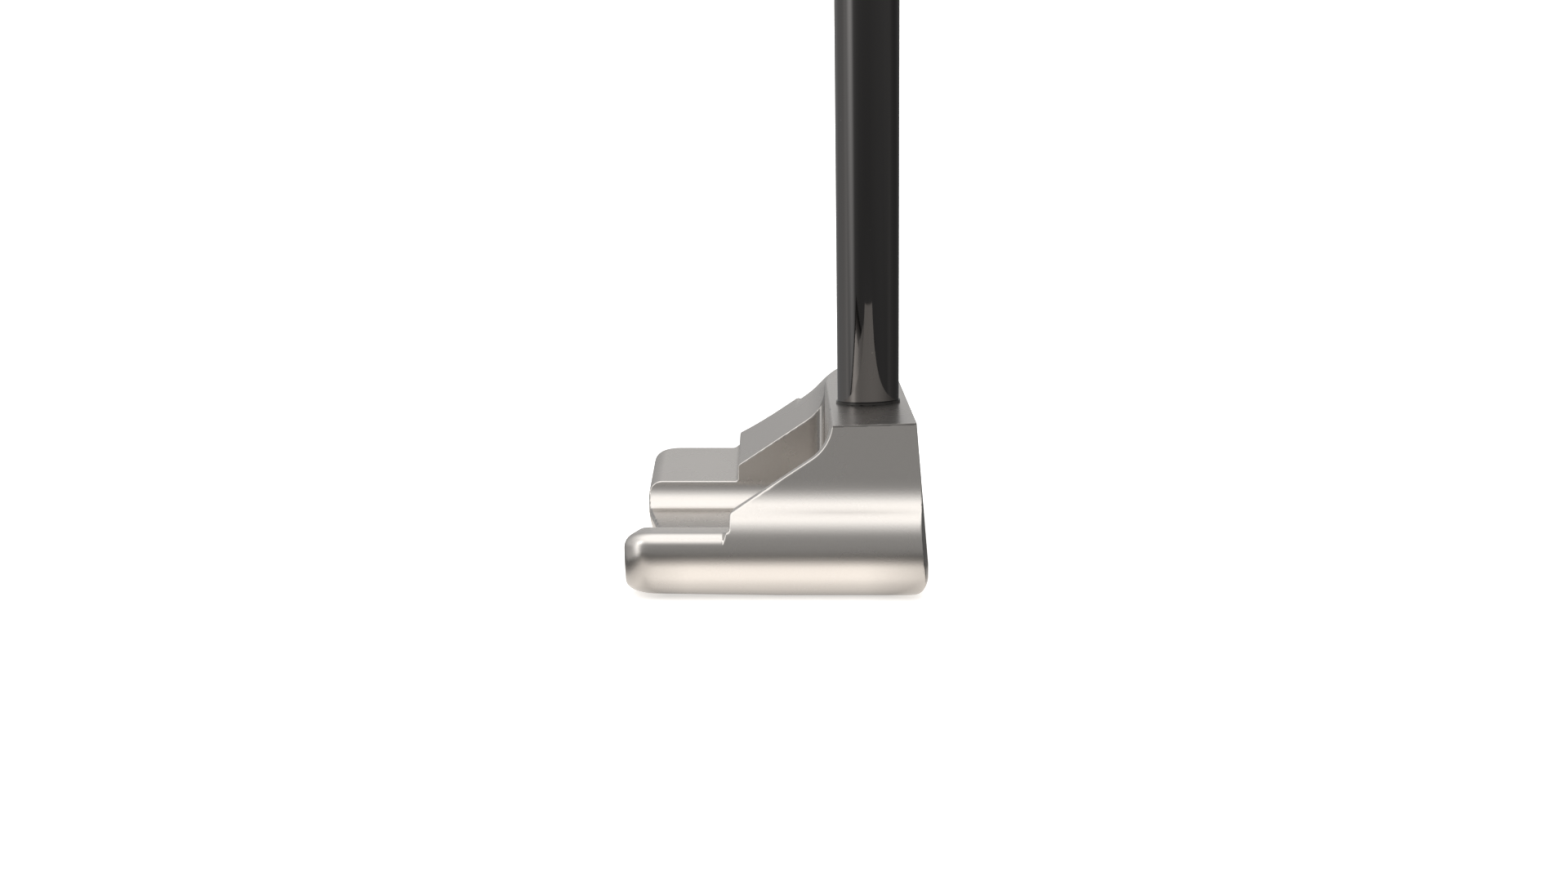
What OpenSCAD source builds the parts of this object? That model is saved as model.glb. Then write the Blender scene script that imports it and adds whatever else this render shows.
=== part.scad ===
// Heel-shafted mallet putter, left-handed, resting on its flat sole.
// +Z is up, +X is the way the face looks, -Y is the heel and +Y the toe.
// The origin lies on the sole, midway between heel and toe. Lengths are in mm.

/* [Head] */
// Heel-to-toe length of the upright end walls
head_length = 90.4; // [84:0.2:104]
// Front-to-back depth from the leading edge to the back of the wings
head_depth = 43.6; // [40:0.2:52]
// Height of the top rail at its rear edge
head_height = 25; // [22:0.2:30]
// Angle of the face from upright
loft = 5; // [2:0.5:7]
// Front-to-back thickness of the top rail
rail_width = 12.1; // [11.8:0.1:15]
// Rise of the rail top towards the face
rail_rise = 1.7; // [0:0.1:3]
// Relief angle of the rear half of the sole
sole_relief = 1.2; // [0.5:0.1:2.5]
// How far each end flares out beyond its upright wall
end_flare = 4.2; // [2:0.1:7]

/* [Bumpers and wings] */
// Width of the open pocket between the two bumpers
pocket_width = 49.4; // [42:0.2:54]
// Thickness of the pocket floor
floor_thickness = 2.6; // [1.8:0.1:4]
// Inward fall of the bumper and wing tops
inward_fall = 7.2; // [0:0.1:8]
// Height of the bumper slope where it leaves the rail
bumper_front_height = 19.6; // [17:0.1:21]
// Height of the bumper slope at the step
bumper_rear_height = 12.3; // [11.5:0.1:15]
// Height of the wings at their outer edge
wing_height = 9.6; // [8.5:0.1:11]
// Front-to-back length of the wings
wing_length = 15.1; // [12:0.1:20]

/* [Sole weights] */
// Diameter of the screw-in sole weights
weight_diameter = 12; // [9:0.5:13]
// Depth of the screw-in sole weights
weight_depth = 5; // [4:0.5:5.5]
// Distance of each weight from the middle of the head
weight_offset = 34; // [33:0.5:37]

/* [Shaft] */
// Lean of the shaft towards the heel
lie_lean = 18; // [15:0.5:20]
// Lean of the shaft away from the face
back_lean = 1; // [0:0.1:2]
// Outside diameter of the shaft at the head
tip_diameter = 9.4; // [9:0.05:9.6]
// Outside diameter of the shaft at the butt
butt_diameter = 14.7; // [14:0.1:15.3]
// Length of the club from the rail to the butt end along the shaft
club_length = 850; // [780:5:900]
// Depth of the shaft in the head
seat_depth = 18; // [15:0.5:19]

/* [Grip] */
// Length of the rubber grip
grip_length = 265; // [250:5:280]
// Width of the grip at its mouth
grip_mouth_diameter = 19; // [18.5:0.5:22]
// Width of the grip at its cap
grip_butt_diameter = 27; // [25:0.5:30]
// Depth of the flat front of the grip from its axis
grip_flat = 10.4; // [9.5:0.1:12]

/* [Hidden] */

$fn = 96;
eps = 0.01;
over = 1;
big = 140;

// Side view levels, X from the middle of the head depth
rear_x = -head_depth / 2;
lead_x = head_depth / 2;
lead_z = 5;
face_top_x = lead_x - (head_height - lead_z) * tan(loft);
rail_rear_x = face_top_x - rail_width;
step_x = rear_x + wing_length;
bumper_front_x = rail_rear_x - 3.6;
slope = atan((bumper_front_height - bumper_rear_height) / (bumper_front_x - step_x));
lead_radius = 3.2;
tail_radius = 1.6;
tail_lift = (-rear_x - tail_radius) * tan(sole_relief);
rail_fillet = 6.5;

// End wall levels: upright wall, ogee flare, then one arc down to the sole
half_length = head_length / 2;
flare_top_z = 17.35;
flare_low_z = 8.3;
sole_round = 9.8;
sole_turn = asin(flare_low_z / sole_round);
flare_angle = 2 * atan(end_flare / (flare_top_z - flare_low_z));
flare_radius = (flare_top_z - flare_low_z) / (2 * sin(flare_angle));
widest = half_length + end_flare;
rear_corner = 4.5;
face_relief = 9.5;
arc_steps = 16;

// Pocket between the bumpers
half_pocket = pocket_width / 2;
pocket_corner = 1.5;
floor_round = 4.4;
notch_x = rear_x + 2.8;
notch_turn = 7.1;

// Toe end of the rail, trimmed back by one slanting cut
toe_trim_pitch = 38.6;
toe_trim_turn = 7.8;
toe_trim_y = 21.5;

// Shaft seat
seat_x = 14;
seat_y = -16.4;
seat_z = head_height + (seat_x - rail_rear_x) * tan(rail_rise);
bond_gap = 0.1;
shaft_wall = 0.6;
parallel_length = 180;
shaft_end = 3;

// Weights
weight_x = 7;
weight_key = 4.6;
weight_key_depth = 2.4;
weight_chamfer = 0.4;
weight_floor_gap = 0.3;

// Sight line
line_width = 1.6;
line_depth = 0.6;
line_start = notch_x + 1.2;
line_end = rail_rear_x - 6;

// Bead, plug and band
bead_height = 0.4;
bead_reach = 0.2;
plug_length = 9;
band_length = 42;
band_place = 500;
band_film = 0.12;

// Grip build
tape_film = 0.3;
tape_margin = 6;
cap_thickness = 4;
cap_spigot = 8;
cap_spigot_diameter = 11.5;
vent_diameter = 3;
mouth_lip = 2.4;

steel_col = [0.74, 0.72, 0.70];
weight_col = [0.55, 0.54, 0.53];
paint_col = [0.08, 0.08, 0.09];
shaft_col = [0.12, 0.12, 0.13];
epoxy_col = [0.05, 0.05, 0.05];
plug_col = [0.72, 0.55, 0.38];
band_col = [0.30, 0.30, 0.32];
rubber_col = [0.10, 0.10, 0.10];
tape_col = [0.80, 0.75, 0.62];

// Moves its children to the shaft seat with local +Z up the shaft
module on_shaft() {
    translate([seat_x, seat_y, seat_z])
        rotate([lie_lean, -back_lean, 0])
            children();
}

// Stands a side view, drawn in X and Z, across the head from heel to toe
module across(width) {
    rotate([90, 0, 0])
        linear_extrude(height = width, center = true)
            children();
}

// Stands an end view, drawn in Y and Z, along the head from back to front
module along(depth) {
    rotate([90, 0, 90])
        linear_extrude(height = depth, center = true)
            children();
}

// Points along an arc about (y, z), from one angle to another
function arc(y, z, radius, from, to) =
    [for (i = [0 : arc_steps])
        let (angle = from + (to - from) * i / arc_steps)
            [y + radius * cos(angle), z + radius * sin(angle)]];

// Outline of one end looking along X: arc from the sole, ogee flare, upright wall
function end_points(side) =
    [for (p = concat(
        arc(widest - sole_round, flare_low_z, sole_round, -sole_turn, 0),
        arc(widest - flare_radius, flare_low_z, flare_radius, 0, flare_angle),
        arc(half_length + flare_radius, flare_top_z, flare_radius, 180 + flare_angle, 180),
        [[half_length, head_height + over]]))
        [side * p[0], p[1]]];

// Both ends together
module end_outline() {
    half = end_points(1);
    other = end_points(-1);
    polygon(concat(half, [for (i = [len(other) - 1 : -1 : 0]) other[i]]));
}

// Outline of the head looking down: square front, rounded rear corners
module plan_outline() {
    union() {
        translate([rear_x + rear_corner, -widest])
            square([head_depth - rear_corner + over, 2 * widest]);
        translate([rear_x, -(widest - rear_corner)])
            square([rear_corner + over, 2 * (widest - rear_corner)]);
        for (side = [-1, 1])
            translate([rear_x + rear_corner, side * (widest - rear_corner)])
                circle(r = rear_corner);
    }
}

// Side view of the rail: lofted face, rounded leading edge, sloping top
module rail_side() {
    difference() {
        polygon([[0, 0],
                 [lead_x, 0],
                 [lead_x, lead_z],
                 [lead_x - (big - lead_z) * tan(loft), big],
                 [rear_x, big],
                 [rear_x, -rear_x * tan(sole_relief)]]);
        translate([rail_rear_x, head_height])
            rotate(rail_rise)
                translate([-big, 0])
                    square([2 * big, 2 * big]);
        lead_edge_waste();
        tail_edge_waste();
    }
}

// Corner removed to round the leading edge
module lead_edge_waste() {
    difference() {
        translate([lead_x - lead_radius, -over])
            square([lead_radius + over, lead_radius + over]);
        translate([lead_x - lead_radius, lead_radius])
            circle(r = lead_radius);
    }
}

// Corner removed to round the back of the sole
module tail_edge_waste() {
    difference() {
        translate([rear_x - over, -over])
            square([tail_radius + over, tail_lift + tail_radius + over]);
        translate([rear_x + tail_radius, tail_lift + tail_radius])
            circle(r = tail_radius);
    }
}

// Side view of everything above the bumper slope, the step and the wing
module above_bumper() {
    fillet_x = rail_rear_x - rail_fillet;
    slope_at_rail = bumper_front_height + (rail_rear_x - bumper_front_x) * tan(slope);
    fillet_z = slope_at_rail - rail_fillet * tan(slope) + rail_fillet / cos(slope);
    difference() {
        polygon([[step_x, wing_height],
                 [step_x, bumper_rear_height],
                 [rail_rear_x, slope_at_rail],
                 [rail_rear_x, big],
                 [rear_x - big, big],
                 [rear_x - big, wing_height]]);
        difference() {
            polygon([[fillet_x + rail_fillet * sin(slope), fillet_z - rail_fillet * cos(slope)],
                     [rail_rear_x + over, slope_at_rail - over],
                     [rail_rear_x + over, fillet_z],
                     [rail_rear_x, fillet_z],
                     [fillet_x, fillet_z]]);
            translate([fillet_x, fillet_z])
                circle(r = rail_fillet);
        }
    }
}

// Space cleared above one bumper and wing, falling towards the pocket
module bumper_clearance(side) {
    mirror([0, side > 0 ? 0 : 1, 0])
        translate([0, half_length, 0])
            rotate([inward_fall, 0, 0])
                rotate([90, 0, 0])
                    translate([0, 0, -2 * end_flare])
                        linear_extrude(height = half_length + 2 * end_flare + over)
                            above_bumper();
}

// Space above the floor between two upright sides, rounded where it meets the floor
function round_bottomed(low, high) =
    concat(arc(low + floor_round, floor_thickness + floor_round, floor_round, 180, 270),
           arc(high - floor_round, floor_thickness + floor_round, floor_round, -90, 0),
           [[high, big], [low, big]]);

// Outline of the open pocket looking down, with small corners at the rail
module pocket_outline() {
    inner_x = rail_rear_x - pocket_corner;
    inner_y = half_pocket - pocket_corner;
    polygon(concat([[rear_x - over, -half_pocket]],
                   arc(inner_x, -inner_y, pocket_corner, -90, 0),
                   arc(inner_x, inner_y, pocket_corner, 0, 90),
                   [[rear_x - over, half_pocket]]));
}

// Open pocket between the bumpers, down to the floor
module pocket_space() {
    intersection() {
        linear_extrude(height = big)
            pocket_outline();
        along(head_depth + 2 * over)
            polygon(round_bottomed(-half_pocket, half_pocket));
        across(pocket_width + 2 * over)
            polygon(round_bottomed(rear_x - big, rail_rear_x));
    }
}

// Shallow notch that draws the back edge of the pocket floor in to the middle
module back_notch() {
    notch_side_x = notch_x - half_pocket * tan(notch_turn);
    translate([0, 0, -over])
        linear_extrude(height = big)
            polygon([[rear_x - over, -half_pocket],
                     [notch_side_x, -half_pocket],
                     [notch_x, 0],
                     [notch_side_x, half_pocket],
                     [rear_x - over, half_pocket]]);
}

// Slanting cut that thins the rail at its toe end
module toe_trim() {
    intersection() {
        translate([rail_rear_x, toe_trim_y, head_height])
            rotate([0, 0, -toe_trim_turn])
                rotate([0, -toe_trim_pitch, 0])
                    translate([-big / 2, -big / 2, 0])
                        cube([big, big, big / 2]);
        translate([bumper_front_x, 0, 0])
            cube([big, big, big]);
    }
}

// Layer that follows the sloping rail top, between two heights above it
module rail_top_layer(low, high) {
    translate([rail_rear_x, 0, head_height])
        rotate([0, -rail_rise, 0])
            translate([-big / 2, -big / 2, low])
                cube([big, big, high - low]);
}

// Relief that turns the face back at one end, beyond the upright wall
module end_relief(side) {
    mirror([0, side > 0 ? 0 : 1, 0])
        translate([lead_x, half_length, lead_z])
            rotate([0, -loft, 0])
                rotate([0, 0, face_relief])
                    translate([0, -over, -big / 2])
                        cube([big / 2, big / 2, big]);
}

// Hole that takes the shaft and its adhesive
module shaft_bore() {
    on_shaft()
        translate([0, 0, -seat_depth])
            cylinder(d = tip_diameter + 2 * bond_gap, h = seat_depth + 2 * over * seat_depth);
}

module sole_weight_at(side) {
    translate([weight_x, side * weight_offset, 0])
        children();
}

// Threaded pocket in the sole for one weight
module weight_pocket(side) {
    sole_weight_at(side)
        translate([0, 0, -over])
            cylinder(d = weight_diameter, h = weight_depth + weight_floor_gap + over);
}

module sight_line_space(lift) {
    translate([line_start, -line_width / 2, floor_thickness - line_depth])
        cube([line_end - line_start, line_width, line_depth + lift]);
}

module head_body() {
    color(steel_col)
        difference() {
            intersection() {
                across(2 * widest + 2 * over)
                    rail_side();
                along(head_depth + 2 * over)
                    end_outline();
                translate([0, 0, -over])
                    linear_extrude(height = head_height + 4 * over)
                        plan_outline();
            }
            bumper_clearance(-1);
            bumper_clearance(1);
            toe_trim();
            end_relief(-1);
            end_relief(1);
            pocket_space();
            back_notch();
            shaft_bore();
            weight_pocket(-1);
            weight_pocket(1);
            sight_line_space(over);
        }
}

module sight_line_fill() {
    color(paint_col)
        sight_line_space(0);
}

// Round weight with a six-sided key socket, flush with the sole
module sole_weight(side) {
    color(weight_col)
        sole_weight_at(side)
            difference() {
                union() {
                    translate([0, 0, weight_chamfer])
                        cylinder(d = weight_diameter, h = weight_depth - weight_chamfer);
                    cylinder(d1 = weight_diameter - 2 * weight_chamfer, d2 = weight_diameter,
                             h = weight_chamfer);
                }
                translate([0, 0, -over])
                    cylinder(d = weight_key, h = weight_key_depth + over, $fn = 6);
            }
}

module heel_sole_weight() {
    sole_weight(-1);
}

module toe_sole_weight() {
    sole_weight(1);
}

// Outside radius of the shaft at a height up from the rail
function shaft_radius(height) =
    height < parallel_length
    ? tip_diameter / 2
    : tip_diameter / 2 + (butt_diameter - tip_diameter) / 2
      * (height - parallel_length) / (club_length - cap_thickness - parallel_length);

module shaft_tube() {
    top = club_length - cap_thickness;
    low = -seat_depth + bond_gap;
    color(shaft_col)
        on_shaft()
            rotate_extrude()
                polygon([[tip_diameter / 2 - shaft_wall, low],
                         [tip_diameter / 2, low],
                         [tip_diameter / 2, parallel_length],
                         [butt_diameter / 2, top],
                         [butt_diameter / 2 - shaft_wall, top],
                         [tip_diameter / 2 - shaft_wall, parallel_length]]);
}

// Adhesive film between the shaft and its bore
module shaft_bond() {
    color(epoxy_col)
        intersection() {
            on_shaft()
                translate([0, 0, -seat_depth])
                    difference() {
                        cylinder(d = tip_diameter + 2 * bond_gap, h = 2 * seat_depth);
                        translate([0, 0, bond_gap])
                            cylinder(d = tip_diameter, h = 2 * seat_depth);
                    }
            rail_top_layer(-big / 2, 0);
        }
}

// Thin dark bead of adhesive where the shaft enters the rail
module shaft_base_bead() {
    color(epoxy_col)
        intersection() {
            on_shaft()
                translate([0, 0, -tip_diameter])
                    difference() {
                        cylinder(d = tip_diameter + 2 * bead_reach, h = 2 * tip_diameter);
                        translate([0, 0, -over])
                            cylinder(d = tip_diameter, h = 2 * tip_diameter + 2 * over);
                    }
            rail_top_layer(0, bead_height);
        }
}

// Stopper that keeps the adhesive out of the tube
module shaft_tip_plug() {
    color(plug_col)
        on_shaft()
            translate([0, 0, -seat_depth + bond_gap])
                cylinder(d = tip_diameter - 2 * shaft_wall, h = plug_length);
}

// Blank printed band around the shaft below the grip
module shaft_band() {
    low = band_place;
    high = band_place + band_length;
    color(band_col)
        on_shaft()
            rotate_extrude()
                polygon([[shaft_radius(low), low],
                         [shaft_radius(low) + band_film, low],
                         [shaft_radius(high) + band_film, high],
                         [shaft_radius(high), high]]);
}

// Solid grip form: round back, flat front facing the same way as the face
module grip_form() {
    low = club_length - grip_length;
    high = club_length - cap_thickness;
    intersection() {
        rotate_extrude()
            polygon([[0, low],
                     [grip_mouth_diameter / 2 - mouth_lip / 2, low],
                     [grip_mouth_diameter / 2, low + mouth_lip],
                     [grip_butt_diameter / 2, low + grip_length * 0.6],
                     [grip_butt_diameter / 2, high],
                     [0, high]]);
        translate([-big, -big, low - over])
            cube([big + grip_flat, 2 * big, grip_length + 2 * over]);
    }
}

module grip_sleeve() {
    low = club_length - grip_length;
    high = club_length - cap_thickness;
    color(rubber_col)
        on_shaft()
            difference() {
                grip_form();
                rotate_extrude()
                    polygon([[0, low - over],
                             [shaft_radius(low) + tape_film, low - over],
                             [shaft_radius(low) + tape_film, low],
                             [shaft_radius(high) + tape_film, high],
                             [shaft_radius(high) + tape_film, high + over],
                             [0, high + over]]);
            }
}

// Double-sided tape wound on the shaft under the grip
module grip_tape() {
    low = club_length - grip_length + tape_margin;
    high = club_length - cap_thickness;
    color(tape_col)
        on_shaft()
            rotate_extrude()
                polygon([[shaft_radius(low), low],
                         [shaft_radius(low) + tape_film, low],
                         [shaft_radius(high) + tape_film, high],
                         [shaft_radius(high), high]]);
}

// Cap that closes the butt end, with a spigot in the tube and a vent hole
module grip_cap() {
    high = club_length - cap_thickness;
    color(rubber_col)
        on_shaft()
            translate([0, 0, high])
                difference() {
                    union() {
                        intersection() {
                            rotate_extrude()
                                polygon([[0, 0],
                                         [grip_butt_diameter / 2, 0],
                                         [grip_butt_diameter / 2, cap_thickness - 1.5],
                                         [grip_butt_diameter / 2 - 1.5, cap_thickness],
                                         [0, cap_thickness]]);
                            translate([-big, -big, 0])
                                cube([big + grip_flat, 2 * big, cap_thickness]);
                        }
                        translate([0, 0, -cap_spigot])
                            cylinder(d = cap_spigot_diameter, h = cap_spigot + eps);
                    }
                    translate([0, 0, -cap_spigot - over])
                        cylinder(d = vent_diameter, h = cap_spigot + cap_thickness + 2 * over);
                }
}

head_body();
sight_line_fill();
heel_sole_weight();
toe_sole_weight();
shaft_tube();
shaft_bond();
shaft_base_bead();
shaft_tip_plug();
shaft_band();
grip_sleeve();
grip_tape();
grip_cap();
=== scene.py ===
import math

import bpy
import numpy as np
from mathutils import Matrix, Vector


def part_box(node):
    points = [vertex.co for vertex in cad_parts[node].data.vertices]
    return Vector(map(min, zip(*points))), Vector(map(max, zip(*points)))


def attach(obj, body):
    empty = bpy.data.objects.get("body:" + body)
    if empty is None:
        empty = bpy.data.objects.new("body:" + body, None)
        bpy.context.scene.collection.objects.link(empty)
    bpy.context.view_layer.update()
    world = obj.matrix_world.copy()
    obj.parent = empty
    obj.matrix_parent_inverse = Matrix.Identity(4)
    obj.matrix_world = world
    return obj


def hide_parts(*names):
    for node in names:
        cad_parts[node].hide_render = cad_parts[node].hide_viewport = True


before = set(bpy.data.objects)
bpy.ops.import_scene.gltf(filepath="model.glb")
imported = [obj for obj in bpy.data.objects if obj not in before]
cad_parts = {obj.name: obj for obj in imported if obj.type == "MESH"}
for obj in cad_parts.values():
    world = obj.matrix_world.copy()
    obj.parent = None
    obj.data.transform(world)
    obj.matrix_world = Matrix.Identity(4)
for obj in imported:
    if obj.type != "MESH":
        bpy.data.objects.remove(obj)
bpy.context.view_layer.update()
MM = 0.001


# ---- Head body -------------------------------------------------------------------------------
# The head is one block of stainless steel, milled all over and then bead-blasted to an even
# satin. A top rail carries the shaft, two bumpers step down from it to two low wings, and an
# open pocket lies between them. Every edge is broken by hand, which leaves a thin bright line.


def corners(node):
    """Lowest and highest corner of a CAD node, in mm."""
    low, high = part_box(node)
    return np.array(low) / MM, np.array(high) / MM


# All sizes are in mm. The rail's height is at its rear edge, and it rises towards the face.
head_low, head_high = corners("head_body")
REAR_X, LEAD_X, WIDEST = head_low[0], head_high[0], head_high[1]
HEAD_HEIGHT = 25.0
LEAD_Z = 5.0
LOFT = math.radians(5.0)
FACE_RELIEF = math.radians(9.5)
RAIL_WIDTH = 12.1
RAIL_REAR_X = LEAD_X - (HEAD_HEIGHT - LEAD_Z) * math.tan(LOFT) - RAIL_WIDTH
RAIL_RISE = math.radians(1.7)
SOLE_RELIEF = math.radians(1.2)
FLARE = 4.2
FLARE_TOP_Z = 17.35
FLARE_LOW_Z = 8.3
HALF_LENGTH = WIDEST - FLARE
SOLE_ROUND = 9.8
LEAD_ROUND = 3.2
TAIL_ROUND = 1.6
REAR_CORNER = 4.5

# Bumpers and wings
STEP_X = REAR_X + 15.1
BUMPER_FRONT_X = RAIL_REAR_X - 3.6
BUMPER_FRONT_Z = 19.6
BUMPER_REAR_Z = 12.3
WING_Z = 9.6
RAIL_FILLET = 6.5
INWARD_FALL = math.radians(7.2)
TRIM_PITCH = math.radians(38.6)
TRIM_TURN = math.radians(7.8)
TRIM_Y = 21.5

# Pocket, and the sight line in its floor
line_low, line_high = corners("sight_line_fill")
LINE_X = (line_low[0], line_high[0])
LINE_HALF = line_high[1]
LINE_DEPTH = 0.6
FLOOR_Z = line_high[2]
HALF_POCKET = 24.7
POCKET_CORNER = 1.5
FLOOR_ROUND = 4.4
NOTCH_X = -19.0
NOTCH_TURN = math.radians(7.1)
NOTCH_CORNER = 1.0

# How far each kind of edge is broken
EDGE_BREAK = 0.3
WING_EDGE = 2.2
TOP_EDGE = 0.05
FACE_EDGE = 0.2
STEP_EDGE = 0.5
POCKET_EDGE = 0.15
NOTCH_EDGE = 0.6
TRIM_EDGE = 1.2
SCREW_EDGE = 0.1

# Bore for the shaft, with the shaft's own axes: across, over and along it
SEAT_X = 14.0
SEAT = np.array([SEAT_X, -16.4, HEAD_HEIGHT + (SEAT_X - RAIL_REAR_X) * math.tan(RAIL_RISE)])
SEAT_DEPTH = 18.0
BORE_RADIUS = 4.8
LIE = math.radians(18.0)
BACK = math.radians(1.0)
SHAFT_AXES = np.array([
    [math.cos(BACK), 0.0, math.sin(BACK)],
    [-math.sin(LIE) * math.sin(BACK), math.cos(LIE), math.sin(LIE) * math.cos(BACK)],
    [-math.cos(LIE) * math.sin(BACK), -math.sin(LIE), math.cos(LIE) * math.cos(BACK)]])

# Screw holes for the sole weights
weight_low, weight_high = corners("toe_sole_weight")
WEIGHT_X, WEIGHT_Y = (weight_low[:2] + weight_high[:2]) / 2
SCREW_RADIUS = (weight_high[1] - weight_low[1]) / 2 + 0.05
SCREW_DEPTH = weight_high[2] + 0.3


def rounded(a, b, radius):
    """Both shapes at once: the larger distance, with the corner between them rounded to a radius."""
    outside = np.hypot(np.maximum(a + radius, 0), np.maximum(b + radius, 0))
    return np.minimum(np.maximum(a, b), -radius) + outside


def end_wall(y, z):
    """Distance out from a flared end: upright wall, hollow arc, full arc, then an arc to the sole."""
    angle = 2 * math.atan(FLARE / (FLARE_TOP_Z - FLARE_LOW_Z))
    radius = (FLARE_TOP_Z - FLARE_LOW_Z) / (2 * math.sin(angle))
    middle = (FLARE_TOP_Z + FLARE_LOW_Z) / 2
    top = np.clip(FLARE_TOP_Z - z, 0, FLARE_TOP_Z - middle) / radius
    full = np.clip(z - FLARE_LOW_Z, 0, middle - FLARE_LOW_Z) / radius
    low = np.clip(FLARE_LOW_Z - z, 0, 0.95 * SOLE_ROUND) / SOLE_ROUND
    lean = np.where(z > middle, top, np.where(z > FLARE_LOW_Z, full, low))
    upright = np.sqrt(1 - lean ** 2)
    reach = np.where(z > middle, radius * (1 - upright),
                     FLARE - np.where(z > FLARE_LOW_Z, radius, SOLE_ROUND) * (1 - upright))
    return (np.abs(y) - HALF_LENGTH - reach) * upright


def head_distance(x, y, z):
    """Distance in mm from points to the head's skin, negative inside it.

    Walls, sole and face are planes or the flared end, each pair rounded into the next. The
    spaces above the wings and bumpers, the pocket, the bores and the line are then cut away.
    """
    side = np.abs(y)
    wall = end_wall(y, z)
    back = REAR_X - x
    face = np.maximum((x - LEAD_X) * math.cos(LOFT) + (z - LEAD_Z) * math.sin(LOFT), x - LEAD_X)
    face = np.maximum(face, face * math.cos(FACE_RELIEF)
                      + (side - HALF_LENGTH) * math.sin(FACE_RELIEF))
    sole = np.maximum(-z, (-x * math.tan(SOLE_RELIEF) - z) * math.cos(SOLE_RELIEF))
    top = (z - HEAD_HEIGHT - (x - RAIL_REAR_X) * math.tan(RAIL_RISE)) * math.cos(RAIL_RISE)
    shell = rounded(rounded(wall, back, REAR_CORNER), sole, TAIL_ROUND)
    body = rounded(shell, rounded(face, sole, LEAD_ROUND), FACE_EDGE)
    body = rounded(body, top, TOP_EDGE)

    height = z * math.cos(INWARD_FALL) - (side - HALF_LENGTH) * math.sin(INWARD_FALL)
    wing = rounded(x - STEP_X, WING_Z - height, STEP_EDGE)
    wing_edge = EDGE_BREAK + (WING_EDGE - EDGE_BREAK) * np.clip((STEP_X - 0.4 - x) / 0.5, 0, 1)
    body = rounded(body, -wing, wing_edge)
    slope = math.atan((BUMPER_FRONT_Z - BUMPER_REAR_Z) / (BUMPER_FRONT_X - STEP_X))
    ramp = (BUMPER_REAR_Z + (x - STEP_X) * math.tan(slope) - height) * math.cos(slope)
    middle_x = RAIL_REAR_X - RAIL_FILLET
    middle_height = (BUMPER_REAR_Z + (middle_x - STEP_X) * math.tan(slope)
                     + RAIL_FILLET / math.cos(slope))
    ahead, under = x - middle_x, height - middle_height
    turn = (under < 0) & (ahead * math.cos(slope) + under * math.sin(slope) > 0)
    ramp = np.where(turn, np.hypot(ahead, under) - RAIL_FILLET, np.maximum(x - RAIL_REAR_X, ramp))
    ramp = np.maximum(ramp, STEP_X - 2.0 - x)
    body = rounded(body, -ramp, EDGE_BREAK)
    plan = rounded(x - RAIL_REAR_X, side - HALF_POCKET, POCKET_CORNER)
    body = rounded(body, -rounded(plan, FLOOR_Z - z, FLOOR_ROUND), POCKET_EDGE)
    notch = (x - NOTCH_X + side * math.tan(NOTCH_TURN)) * math.cos(NOTCH_TURN)
    body = rounded(body, -rounded(notch, side - HALF_POCKET, NOTCH_CORNER), NOTCH_EDGE)
    trim = ((x - RAIL_REAR_X) * math.sin(TRIM_PITCH) * math.cos(TRIM_TURN)
            - (y - TRIM_Y) * math.sin(TRIM_PITCH) * math.sin(TRIM_TURN)
            - (z - HEAD_HEIGHT) * math.cos(TRIM_PITCH))
    body = rounded(body, -np.maximum(trim, BUMPER_FRONT_X - x), TRIM_EDGE)

    dx, dy, dz = x - SEAT[0], y - SEAT[1], z - SEAT[2]
    across = dx * SHAFT_AXES[0, 0] + dy * SHAFT_AXES[0, 1] + dz * SHAFT_AXES[0, 2]
    over = dx * SHAFT_AXES[1, 0] + dy * SHAFT_AXES[1, 1] + dz * SHAFT_AXES[1, 2]
    along = dx * SHAFT_AXES[2, 0] + dy * SHAFT_AXES[2, 1] + dz * SHAFT_AXES[2, 2]
    body = np.maximum(body, -np.maximum(np.hypot(across, over) - BORE_RADIUS, -along - SEAT_DEPTH))
    screw = np.hypot(x - WEIGHT_X, side - WEIGHT_Y) - SCREW_RADIUS
    body = rounded(body, -np.maximum(screw, z - SCREW_DEPTH), SCREW_EDGE)
    line = np.maximum(np.maximum(LINE_X[0] - x, x - LINE_X[1]), side - LINE_HALF)
    return np.maximum(body, -np.maximum(line, np.abs(z - FLOOR_Z) - LINE_DEPTH))


def grid_line(low, high, coarse, zones):
    """Grid stations from low to high: coarse steps, with each zone's own step inside it."""
    stations = [low]
    while stations[-1] < high:
        step = min([coarse] + [fine for a, b, fine in zones if a <= stations[-1] < b])
        stations.append(stations[-1] + step)
    return np.array(stations)


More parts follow.
